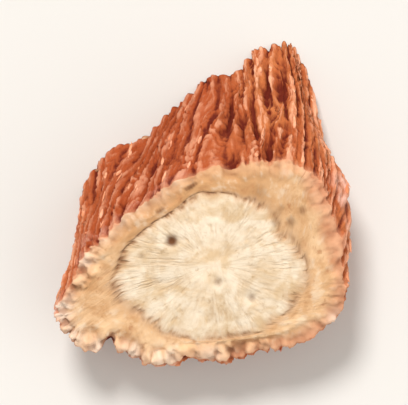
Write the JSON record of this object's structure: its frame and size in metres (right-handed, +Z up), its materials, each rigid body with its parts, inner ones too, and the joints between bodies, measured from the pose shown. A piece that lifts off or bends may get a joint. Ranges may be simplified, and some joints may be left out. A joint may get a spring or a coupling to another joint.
{
  "type": "ginseng root slice",
  "caption": "Thick slanted slice of a dried ginseng root: ridged red-brown bark, pale rind and cream wood on the cut, for dressing a plate, jar or tray.",
  "frame": {"origin": "under the middle of the bounding box, on the surface that the slice lies on", "axes": "+Z up from the lower cut, +Y towards the high side where the bark slopes out, +X to the right when looking along +Y"},
  "size_m": [0.0194, 0.0216, 0.0083],
  "materials": {
    "root": "dry, matt, wrinkled bark with a pale cut face"
  },
  "bodies": {
    "root": {"root_slice": "root"}
  },
  "joints": []
}
